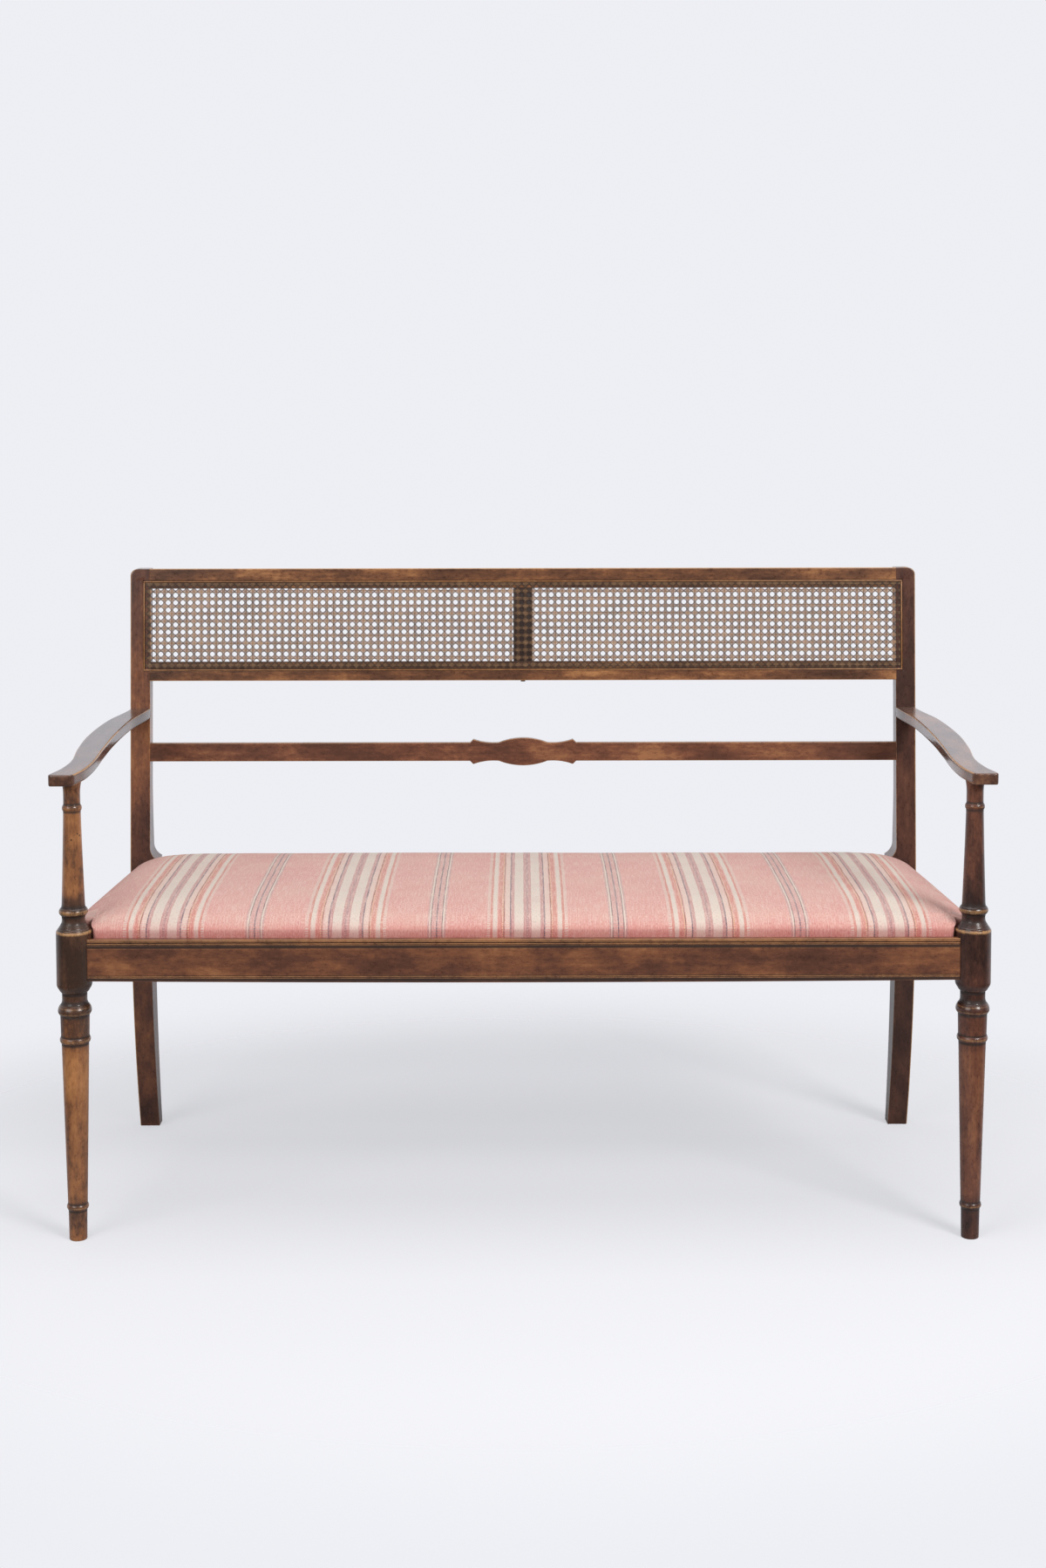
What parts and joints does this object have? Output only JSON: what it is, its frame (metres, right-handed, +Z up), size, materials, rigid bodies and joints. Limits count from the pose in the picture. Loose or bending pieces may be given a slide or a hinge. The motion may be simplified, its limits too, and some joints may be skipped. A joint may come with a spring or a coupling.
{
  "type": "settee",
  "caption": "Two-seat settee with a caned back, a stay rail with a lens-shaped tablet, ogee open arms on turned front legs, sabre back legs and a drop-in padded seat.",
  "frame": {"origin": "on the floor under the middle of the whole settee", "axes": "+Z up, -Y towards the front of the seat, +X towards the sitter's left side, seen from the front as the right"},
  "size_m": [1.2952, 0.5328, 0.9],
  "materials": {
    "polished_wood": "stained and polished hardwood, worn on the arrises",
    "spline_cane": "varnished reed spline",
    "woven_cane": "varnished woven cane",
    "raw_wood": "unpolished beech",
    "screw_steel": "plain steel wood screws",
    "webbing": "jute webbing",
    "hessian": "coarse jute cloth",
    "undercloth": "black cotton undercloth",
    "stuffing": "hair and cotton stuffing",
    "striped_fabric": "woven striped upholstery fabric"
  },
  "bodies": {
    "frame": {"front_post_left": "polished_wood", "front_post_right": "polished_wood", "back_post_left": "polished_wood", "back_post_right": "polished_wood", "front_rail": "polished_wood", "side_rail_left": "polished_wood", "side_rail_right": "polished_wood", "rear_rail": "polished_wood", "crest_rail": "polished_wood", "lower_cane_rail": "polished_wood", "cane_muntin": "polished_wood", "stay_rail": "polished_wood", "arm_left": "polished_wood", "arm_right": "polished_wood", "spline_top": "spline_cane", "spline_bottom": "spline_cane", "spline_left": "spline_cane", "spline_right": "spline_cane", "cane_sheet": "woven_cane", "corner_brace_front_left": "raw_wood", "corner_brace_front_right": "raw_wood", "corner_brace_rear_left": "raw_wood", "corner_brace_rear_right": "raw_wood", "arm_dowels": "raw_wood", "brace_screws": "screw_steel"},
    "seat": {"seat_frame_front": "raw_wood", "seat_frame_back": "raw_wood", "seat_frame_left": "raw_wood", "seat_frame_right": "raw_wood", "seat_frame_brace": "raw_wood", "seat_webbing": "webbing", "seat_hessian": "hessian", "seat_undercloth": "undercloth", "seat_stuffing": "stuffing", "seat_cover": "striped_fabric"}
  },
  "joints": [
    {"name": "seat_lift", "type": "slide", "parent": "frame", "child": "seat", "axis": [0, 0, 1], "range_m": [0, 0.12]}
  ]
}
